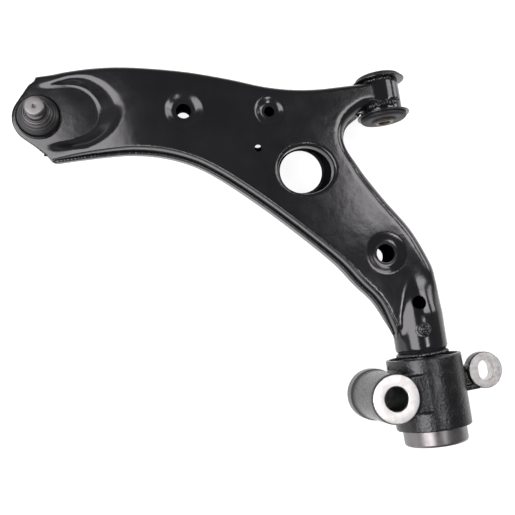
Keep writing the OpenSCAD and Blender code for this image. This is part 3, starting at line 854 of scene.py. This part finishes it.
def spatter(blobs=150, z=2.1):
    """Small weld spatter on the ledge beside the outer seam."""
    rng = random.Random(29)
    normals = right_normals(lower_loop)
    along = [i for i, n in enumerate(lower_names) if n == "outer" and -332 < lower_loop[i][0] < -190]
    build = bmesh.new()
    for _ in range(blobs):
        i = rng.choice(along)
        size = rng.uniform(0.3, 0.75)
        out = rng.uniform(-2.6, -0.4)
        spot = lower_loop[i] + normals[i] * out + np.array([rng.uniform(-1, 1), 0])
        blob = bmesh.ops.create_icosphere(build, subdivisions=2, radius=size * MM)
        stretch = Matrix.Diagonal((rng.uniform(0.8, 1.3), rng.uniform(0.8, 1.3), 0.8, 1))
        bmesh.ops.transform(build, matrix=stretch, verts=blob["verts"])
        bmesh.ops.translate(build, vec=Vector((spot[0], spot[1], z)) * MM, verts=blob["verts"])
    obj = object_of(build, "weld_spatter")
    finish_mesh(obj, 60)
    return dress(obj, "weld_paint", "arm")


spatter()


def across_tube(y, x_from, x_to, radius, upper_side):
    """A path across the cross tube at one side of a tongue."""
    xs = np.linspace(x_from, x_to, 30)
    z = np.sqrt(np.maximum(radius ** 2 - xs ** 2, 0)) * upper_side
    return np.column_stack([xs, np.zeros(30) + y, z])


curl = np.interp(np.linspace(0, 1, 30), [0, 0.8, 1], [-11.2, -10.6, -6.0])
for name, y, x_to, path_r, upper_side, radius, seed, ripple, roughness, nodes in [
        ("tongue_weld_lower_side", curl, 11, 21.4, 1, 2.7, 21, 3.4, 0.34, ["eye_weld_upper"]),
        ("tongue_weld_upper_side", 15.2, 6, 21.2, 1, 1.9, 22, 3.2, 0.34, []),
        ("under_weld_rear_side", -10.6, 8, 21.2, -1, 2.2, 23, 3.2, 0.3, ["eye_weld_lower"]),
        ("under_weld_front_side", 15.2, 6, 21.2, -1, 1.9, 24, 3.2, 0.3, [])]:
    path = across_tube(y, -19, x_to, path_r, upper_side)
    dress(bead(name, path, radius, seed, ripple, roughness), "weld_paint", "arm", nodes)


def plug(name, cx, cy, radius, seed):
    """Weld metal that fills the round window in the neck, with swirls left by the torch."""
    rings, around = 16, 64
    verts = []
    for k in range(rings + 2):
        rho = radius * min(k / rings, 1)
        for a in range(around):
            t = tau * a / around
            x, y = cx + rho * cos(t), cy + rho * sin(t)
            if k > rings:
                verts.append((x, y, sqrt((NECK_R - 3) ** 2 - x * x)))
                continue
            crown = 2.0 * (1 - (k / rings) ** 4) - 0.45
            swirl = 0.55 * sin(rho * 1.9 + 1.5 * t) * sin(pi * k / rings)
            lumps = 1.3 * wobble((x, y, 0), 0.35, seed) * (1 - (k / rings) ** 3)
            verts.append((x, y, sqrt(NECK_R ** 2 - x * x) + crown + swirl + lumps))
    faces = []
    for k in range(rings + 1):
        for a in range(around):
            b = (a + 1) % around
            low, high = k * around, (k + 1) * around
            faces.append([low + a, low + b, high + b, high + a])
    faces.append([(rings + 1) * around + a for a in range(around)])
    return new_object(name, verts, faces, 60, merge=True)


dress(plug("neck_plug_weld", -5, -243, 8.2, 31), "weld_paint", "arm", ["plug_weld"])
END_WELD_R, END_WELD_Y = 24.2, -267.4
ring_path = [(END_WELD_R * cos(t), END_WELD_Y, END_WELD_R * sin(t))
             for t in np.linspace(0, tau, 120)]
dress(bead("neck_end_weld", np.array(ring_path), 2.0, 33, 3.0, 0.25), "weld_paint",
      "arm", ["neck_ring_weld"])

# ---- front bush ----


def mirrored(half):
    """A profile mirrored about the middle of the bush, from its half with y above 0."""
    return half + [(r, -h) for r, h in reversed(half)]


TUBE_WALL = 2.5
tube_r = EYE_R - TUBE_WALL
dress(lathe("cross_tube", rounded(mirrored([(tube_r, EYE_HALF), (EYE_R, EYE_HALF)]), 0.6), "Y"),
      "arm_paint", "arm", ["eye_tube"])
dress(lathe("bush_outer_sleeve", rounded(mirrored(
    [(tube_r - 2, LIP_HALF), (LIP_R, LIP_HALF), (LIP_R, EYE_HALF + 0.1),
     (tube_r, EYE_HALF + 0.1)]), [0.2, 0.9, 0.9, 1.0, 1.0, 0.9, 0.9, 0.2]), "Y"),
      "arm_paint", "arm", ["front_bush_outer_sleeve"])
disc_y = FRONT_RUBBER[1]
dress(lathe("bush_rubber", rounded(mirrored(
    [(SLEEVE_R + 0.05, disc_y), (12.6, disc_y), (13.4, disc_y - 1.6), (16.5, disc_y - 1.7),
     (22.0, disc_y - 1.9), (23.8, disc_y - 3.6), (23.9, disc_y - 5.2), (22.9, disc_y - 5.8),
     (24.0, LIP_HALF + 0.02), (tube_r - 2.02, LIP_HALF + 0.02)]),
    [0.1, 0.6, 0.7, 0.8, 1.4, 1.0, 0.4, 0.3, 0.2, 0.4, 0.4, 0.2, 0.3, 0.4, 1.0, 1.4, 0.8, 0.7,
     0.6, 0.1]), "Y"), "bush_rubber", "arm", ["front_bush_rubber"])
dress(lathe("bush_inner_sleeve", rounded(mirrored(
    [(6.25, SLEEVE_HALF - 0.8), (7.05, SLEEVE_HALF), (SLEEVE_R - 0.9, SLEEVE_HALF),
     (SLEEVE_R, SLEEVE_HALF - 0.9)]), 0.2), "Y"),
      "zinc_steel", "front_sleeve", ["front_bush_inner_sleeve"])

# ---- ball joint ----

AT_BALL = (BALL_X, BALL_Y)
H0, H1 = HOUSING_LOW[2], HOUSING_HIGH[2]
FOOT = FLAT_Z + 2.5
FLANGE_R = 21.4
dress(lathe("joint_housing", rounded(
    [(16.5, H0), (19, H0), (HOUSING_R, H0 + 1.2), (HOUSING_R, FLAT_Z - 0.02),
     (FLANGE_R - 0.2, FLAT_Z - 0.02), (FLANGE_R, FOOT - 0.4), (FLANGE_R - 0.3, FOOT),
     (18.2, FOOT), (18.2, H1), (15.2, H1), (12, 4), (15.9, 0), (15.9, -4), (16, H0 + 2.6),
     (16.5, H0 + 2.4)],
    [0.4, 0.6, 0.6, 0.2, 0.4, 0.3, 0.3, 0.3, 0.5, 0.5, 0, 0, 0, 0, 0]), "Z", AT_BALL),
      "arm_paint", "arm", ["ball_joint_housing"])
dress(lathe("boot_ring", rounded(
    [(19.1, FOOT + 0.02), (21.0, FOOT + 0.02), (21.05, FOOT + 1.0), (20.6, FOOT + 1.6),
     (19.5, FOOT + 1.6), (19.1, FOOT + 1.1)], [0.3, 0.4, 0.5, 0.4, 0.4, 0.3]), "Z", AT_BALL),
      "boot_rubber", "arm", ["boot_retaining_ring"], RING_RUBBER)

BOOT_SPLIT = 15.0
BOOT_TOP = 23.0
FOLD_DEPTH, FOLD_PITCH = 0.34, 2.75


def bellows(z):
    """Outer radius of the boot at height z, with its folds."""
    body = float(np.interp(z, [7.6, 9.2, 10.5, 12.5, 15, 17.5, 20, 23],
                           [19.0, 19.0, 19.0, 18.3, 16.9, 15.0, 12.2, 11.3]))
    fold = FOLD_DEPTH * sin((z - 9.2) * tau / FOLD_PITCH)
    return body + fold * min(1, max(0, (20.4 - z) / 1.5)) * min(1, max(0, (z - 8.8) / 1.4))


def boot_half(name, z0, z1, inner):
    """The folds between two heights, closed by the boot's inner wall."""
    outer = [(bellows(z), z) for z in np.linspace(z0, z1, 34)]
    return lathe(name, outer + inner, "Z", AT_BALL, 112, 60)


low_boot = boot_half("boot_lower_folds", FOOT + 0.03, BOOT_SPLIT,
                     [(15.5, 15), (17.0, 12.5), (17.6, 10.9), (18.22, 10.7), (18.22, FOOT + 0.03)])
dress(low_boot, "boot_rubber", nodes=["boot_lower"])
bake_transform(low_boot)
high_boot = boot_half("boot_upper_folds", BOOT_SPLIT, 20.6,
                      [(11.3, 20.9), (11.3, 22.4), (10.9, 22.9), (9.0, 22.9), (8.72, 22.6),
                       (8.72, 19), (10.4, 18.4), (13.4, 16.9), (15.5, 15)])
dress(high_boot, "boot_rubber", nodes=["boot_upper"])
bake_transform(high_boot)
dress(lathe("boot_clip", [(11.85 + 0.55 * cos(t), 21.6 + 0.9 * sin(t))
                          for t in np.linspace(0, tau, 17)[:-1]], "Z", AT_BALL),
      "stud_steel", "boot_lip", ["boot_clip_ring"])

groove_z = (BOOT_TOP + STUD_TOP) / 2
groove = [(13 - 5 * cos(t), groove_z + 5 * sin(t)) for t in np.linspace(-0.62, 0.62, 13)]
ball = [(13.5 * cos(t), -3 + 13.5 * sin(t)) for t in np.linspace(-1.02, 1.0, 30)]
dress(lathe("ball_stud_body", [(0, ball[0][1])] + ball + [(7, 10), (7, 13)] + rounded(
    [(8.6, 18), (8.6, 23.0), (9.0, 23.1), (9.0, groove[0][1] - 0.3)], [0, 0, 0, 0]) + groove
    + rounded([(9.0, groove[-1][1] + 0.3), (9.0, STUD_TOP - 1.1), (7.9, STUD_TOP), (2.0, STUD_TOP),
               (0.15, STUD_TOP - 1.8)], [0, 0.5, 0.5, 0.15, 0]) + [(0, STUD_TOP - 1.8)],
    "Z", AT_BALL), "stud_steel", "stud", ["ball_stud"])

# ---- rear bush ----

S0, S1, SR = OUTER_SLEEVE_LOW[1], OUTER_SLEEVE_HIGH[1], OUTER_SLEEVE_HIGH[2]
dress(lathe("rear_outer_sleeve", rounded(
    [(SR - 2.6, S1), (SR, S1), (SR, S0 + 2.2), (SR - 0.9, S0 + 0.5), (SR - 2.2, S0),
     (SR - 2.6, S0 + 0.4)],
    [0.3, 0.3, 1.2, 0.8, 0.3, 0.2]), "Y"), "sleeve_steel", "bracket",
      ["rear_bush_outer_sleeve"])
R1 = SR - 2.62
dress(lathe("rear_rubber", rounded(
    [(15.6, S0 + 8), (19, S0 + 8), (22, S0 + 16), (R1 - 4, S0 + 16), (R1 - 0.4, S0 + 10.5),
     (R1, S0 + 11), (R1, S1 - 6), (R1 - 3, S1 - 10), (21, S1 - 10), (18, S1 - 3), (15.6, S1 - 3)],
    [0.3, 1.5, 2.5, 2.5, 0.6, 0.2, 0.6, 1.8, 2.5, 1.5, 0.3]), "Y"), "bush_rubber",
      "bracket", ["rear_bush_rubber"])
P0, P1 = PIN_LOW[1], -270.0
dress(lathe("rear_bush_core", rounded([(12.02, P0 + 2), (15.5, P0 + 2), (15.5, P1), (12.02, P1)], 0.5),
            "Y"), "sleeve_steel", "arm", ["rear_bush_inner_sleeve"])
dress(lathe("rear_pin_body", [(0, P0)] + rounded(
    [(10.6, P0), (12, P0 + 1.4), (12, P1), (19, P1), (19, -266), (22.9, -266), (22.9, -235.2),
     (20, -232)], [0.4, 0.4, 0.8, 0.3, 0.3, 0.4, 0.4, 0.4]) + [(0, -232)], "Y"),
      "arm_paint", "arm", ["rear_pin"])

# ---- cast bracket ----

BARREL_TOP, BARREL_LOW = -270.0, -340.0
BARREL_R = 37.5
BOSS = (-48.0, -303.0)
BOSS_LOW, BOSS_HIGH = BRACKET_LOW[2], BRACKET_HIGH[2]
BORE_R = 11.5
EAR = (61.0, -293.0)
EAR_LOW, EAR_HIGH = -4.0, 8.0
EAR_R = 18.5
VOXEL = 0.85


def prism(name, plan, z0, z1):
    """A plan outline made solid between two heights."""
    n = len(plan)
    verts = [(x, y, z0) for x, y in plan] + [(x, y, z1) for x, y in plan]
    faces = [list(range(n)), list(range(n, 2 * n))]
    faces += [[i, (i + 1) % n, n + (i + 1) % n, n + i] for i in range(n)]
    return new_object(name, verts, faces)


def slot_plan(width, length, n=24):
    """The ear's slot with its two round ends."""
    half, r = (length - width) / 2, width / 2
    return [(EAR[0] + r * cos(t), EAR[1] + shift + r * sin(t))
            for start, shift in ((0, half), (pi, -half))
            for t in np.linspace(start, start + pi, n)]


def joined(objects, name):
    """One object that holds the meshes of all the given ones."""
    build = bmesh.new()
    for o in objects:
        build.from_mesh(o.data)
        bpy.data.objects.remove(o)
    return object_of(build, name)


def cut(obj, tool):
    """Cuts the tool's volume out of the object."""
    step = obj.modifiers.new("cut", "BOOLEAN")
    step.operation = "DIFFERENCE"
    step.solver = "EXACT"
    step.object = tool
    apply_modifiers(obj)
    bpy.data.objects.remove(tool)


def drum(r, low, high):
    return [(0, low), (r, low), (r, high), (0, high)]


def ear_strip(low_left, low_right, high_right, high_left):
    """A plan strip between the barrel and the ear, with its corners' distances from the middle."""
    left, right, middle = 20.0, EAR[0] - 9.0, -298.0
    return [(left, middle + low_left), (right, middle + low_right), (right, middle + high_right),
            (left, middle + high_left)]


web_left, web_right = BOSS[0], -6.0
web_plan = rounded([(web_left, BOSS[1] - 18), (web_right, BOSS[1] - 18),
                    (web_right, BOSS[1] + 18), (web_left, BOSS[1] + 18)], [0, 9, 9, 0])
flange_z = (EAR_LOW + 0.2, EAR_HIGH - 0.2)
casting = joined([
    lathe("barrel", drum(BARREL_R, BARREL_LOW, BARREL_TOP), "Y"),
    lathe("boss", [
        (0, BOSS_LOW + 0.6), (26.4, BOSS_LOW + 0.6), (26.4, BOSS_LOW + 14.5), (24.6, BOSS_LOW + 17),
        (24.3, BOSS_HIGH - 3), (23.7, BOSS_HIGH - 0.5), (0, BOSS_HIGH - 0.5)], "Z", BOSS),
    prism("web", web_plan, BOSS_LOW + 2.5, BOSS_HIGH - 2.5),
    prism("ear_web", ear_strip(-12, -12, 12, 12), -1.0, 5.0),
    prism("ear_flange_low", ear_strip(-13.2, -12.4, -7.6, -7.8), *flange_z),
    prism("ear_flange_high", ear_strip(7.8, 7.6, 12.4, 13.2), *flange_z),
    lathe("ear", drum(EAR_R, EAR_LOW + 0.35, EAR_HIGH - 0.35), "Z", EAR)], "bracket_casting")
remesh = casting.modifiers.new("cast", "REMESH")
remesh.mode = "VOXEL"
remesh.voxel_size = VOXEL * MM
soften = casting.modifiers.new("soften", "SMOOTH")
soften.factor = 0.5
soften.iterations = 9
apply_modifiers(casting)
cut(casting, lathe("bore_tool", [
    (0, BARREL_LOW - 9), (SR + 0.02, BARREL_LOW - 9), (SR + 0.02, S1), (SR + 2.4, S1),
    (SR + 2.4, BARREL_TOP + 9), (0, BARREL_TOP + 9)], "Y"))
cut(casting, lathe("boss_tool", drum(BORE_R, -60, 60), "Z", BOSS))
cut(casting, prism("ear_tool", slot_plan(15.8, 20.8), -30, 30))
finish_mesh(casting, 45)
dress(casting, "cast_paint", "bracket", ["rear_bracket"])


def face_ring(name, face, back, outer):
    """A machined ring on one end of the boss, with a chamfer into the bore."""
    into = copysign(1.0, back - face)
    ring = lathe(name, rounded(
        [(BORE_R - 0.02, face + 1.1 * into), (BORE_R + 1.0, face), (outer - 0.5, face),
         (outer, face + 0.5 * into), (outer, back), (BORE_R - 0.02, back)],
        [0.1, 0.1, 0.3, 0.2, 0, 0]), "Z", BOSS)
    return dress(ring, "machined_steel", "bracket")


# A lining in the boss's bore: black paint with painted shade, darker and less glossy than the casting,
# where shade falls inside the bore.
dress(lathe("boss_bore_painted_shade", [(BORE_R - 0.03, BOSS_LOW + 1.2), (BORE_R - 0.03, BOSS_HIGH - 1.2),
                                (BORE_R + 0.4, BOSS_HIGH - 1.2), (BORE_R + 0.4, BOSS_LOW + 1.2)],
            "Z", BOSS), "cast_paint", "bracket", look=BORE_PAINTED_SHADE)
face_ring("boss_face_upper", BOSS_HIGH, BOSS_HIGH - 3, 23.1)
face_ring("boss_face_lower", BOSS_LOW, BOSS_LOW + 3, 25.4)


def ear_facing():
    """The machined faces of the ear and the lining of its slot."""
    n = 96
    inner = resample(slot_plan(15, 20), 0.1, True)
    inner = inner[np.linspace(0, len(inner) - 1, n).astype(int)]
    angles = np.arctan2(inner[:, 1] - EAR[1], inner[:, 0] - EAR[0])
    inner = inner[np.argsort(angles)]
    angles = np.sort(angles)
    rings = []
    for shrink, z in ((1.0, EAR_LOW + 0.9), (0.93, EAR_LOW), (0, EAR_LOW), (-0.4, EAR_LOW + 0.5),
                      (-0.4, EAR_LOW + 2), (0.9, EAR_LOW + 2), (0.9, EAR_HIGH - 2),
                      (-0.4, EAR_HIGH - 2), (-0.4, EAR_HIGH - 0.5), (0, EAR_HIGH),
                      (0.93, EAR_HIGH), (1.0, EAR_HIGH - 0.9)):
        ring = []
        for (ix, iy), a in zip(inner, angles):
            r = EAR_R - 1.2 - min(shrink, 0)
            ox, oy = EAR[0] + r * cos(a), EAR[1] + r * sin(a)
            w = max(shrink, 0)
            ring.append((ox * (1 - w) + ix * w, oy * (1 - w) + iy * w, z))
        rings.append(ring)
    verts = [v for ring in rings for v in ring]
    faces = []
    for k in range(len(rings)):
        j = (k + 1) % len(rings)
        faces += [[k * n + i, k * n + (i + 1) % n, j * n + (i + 1) % n, j * n + i] for i in range(n)]
    return new_object("ear_machined_end", verts, faces, 32)


dress(ear_facing(), "machined_steel", "bracket")

# ---- CAD nodes that keep their own shape ----

slot_of = {part["node"]: part["material_slot"] for part in frame["record"]["subparts"]}
for name, obj in frame["nodes"].items():
    if not obj.hide_render:
        obj.data.materials.clear()
        obj.data.materials.append(LOOKS[slot_of[name]])

# ---- floor, light and camera ----

FLOOR_GREY, FLOOR_GLOW, FLOOR_GAP = 0.32, 0.88, 0.0005
floor_z = cad_bounds[0][2] - FLOOR_GAP
bpy.ops.mesh.primitive_plane_add(size=60, location=(0, 0, floor_z))
floor_obj = bpy.context.object
floor_obj.name = "studio_floor"
floor_paint = bpy.data.materials.new("studio_floor")
floor_paint.use_nodes = True
set_inputs(floor_paint.node_tree.nodes["Principled BSDF"], {
    "Base Color": (FLOOR_GREY,) * 3 + (1,), "Roughness": 0.9, "Specular IOR Level": 0.1,
    "Emission Color": (1, 1, 1, 1), "Emission Strength": FLOOR_GLOW})
floor_obj.data.materials.append(floor_paint)

world = bpy.data.worlds.new("studio")
bpy.context.scene.world = world
world.use_nodes = True
sky, link = world.node_tree.nodes, world.node_tree.links.new
where = sky.new("ShaderNodeTexCoord")
split = sky.new("ShaderNodeSeparateXYZ")
link(where.outputs["Generated"], split.inputs["Vector"])


def by_height(z0, z1, at_z0, at_z1):
    """A brightness that runs from one value to another between two heights of direction."""
    fade = sky.new("ShaderNodeMapRange")
    set_inputs(fade, {"From Min": z0, "From Max": z1, "To Min": at_z0, "To Max": at_z1})
    link(split.outputs["Z"], fade.inputs["Value"])
    return fade.outputs["Result"]


total = sky.new("ShaderNodeMath")
total.operation = "ADD"
link(by_height(0.05, 0.85, 0.30, 0.145), total.inputs[0])
link(by_height(0.02, 0.08, 0.65, 0.0), total.inputs[1])
link(total.outputs["Value"], sky["Background"].inputs["Strength"])
set_inputs(sky["Background"], {"Color": (1, 1, 1, 1)})


def softbox(name, place, width, height, power, aim=None):
    """A rectangular light, in metres and watts, that shines straight down unless aimed."""
    light = bpy.data.lights.new(name, "AREA")
    light.shape = "RECTANGLE"
    light.size, light.size_y = width, height
    light.energy = power
    light.color = (1.0, 0.97, 0.995)
    obj = linked(name, light)
    obj.location = place
    direction = Vector(aim or (place[0], place[1], 0)) - Vector(place)
    obj.rotation_euler = direction.to_track_quat("-Z", "Y").to_euler()


softbox("softbox_left", (-0.87, -0.265, 0.60), 1.02, 0.95, 20)
softbox("softbox_right", (0.665, 0.12, 1.05), 0.73, 0.26, 4.4)
softbox("softbox_back", (0.70, 0.46, 1.05), 0.56, 0.38, 3.9)
softbox("softbox_low", (0.14, -0.39, 1.05), 0.20, 0.26, 1.9)
softbox("softbox_far", (1.35, 0.30, 0.60), 0.6, 0.5, 5, aim=(-0.15, -0.15, 0.0))
bpy.context.scene.view_settings.view_transform = "Standard"

camera = bpy.data.cameras.new("camera")
camera.sensor_width = 36
camera.lens = 48.932
camera.clip_start = 0.01
camera_obj = linked("camera", camera)
right = Vector((0.9753, -0.142, 0.1671)).normalized()  # the camera's own axes, seen from the part
back = Vector((-0.1814, -0.095, 0.9788))
back = (back - right * back.dot(right)).normalized()
up = back.cross(right)
turn = Matrix((right, up, back)).transposed().to_4x4()
turn.translation = Vector((-0.2799, -0.2152, 0.6782))
camera_obj.matrix_world = turn
bpy.context.scene.camera = camera_obj
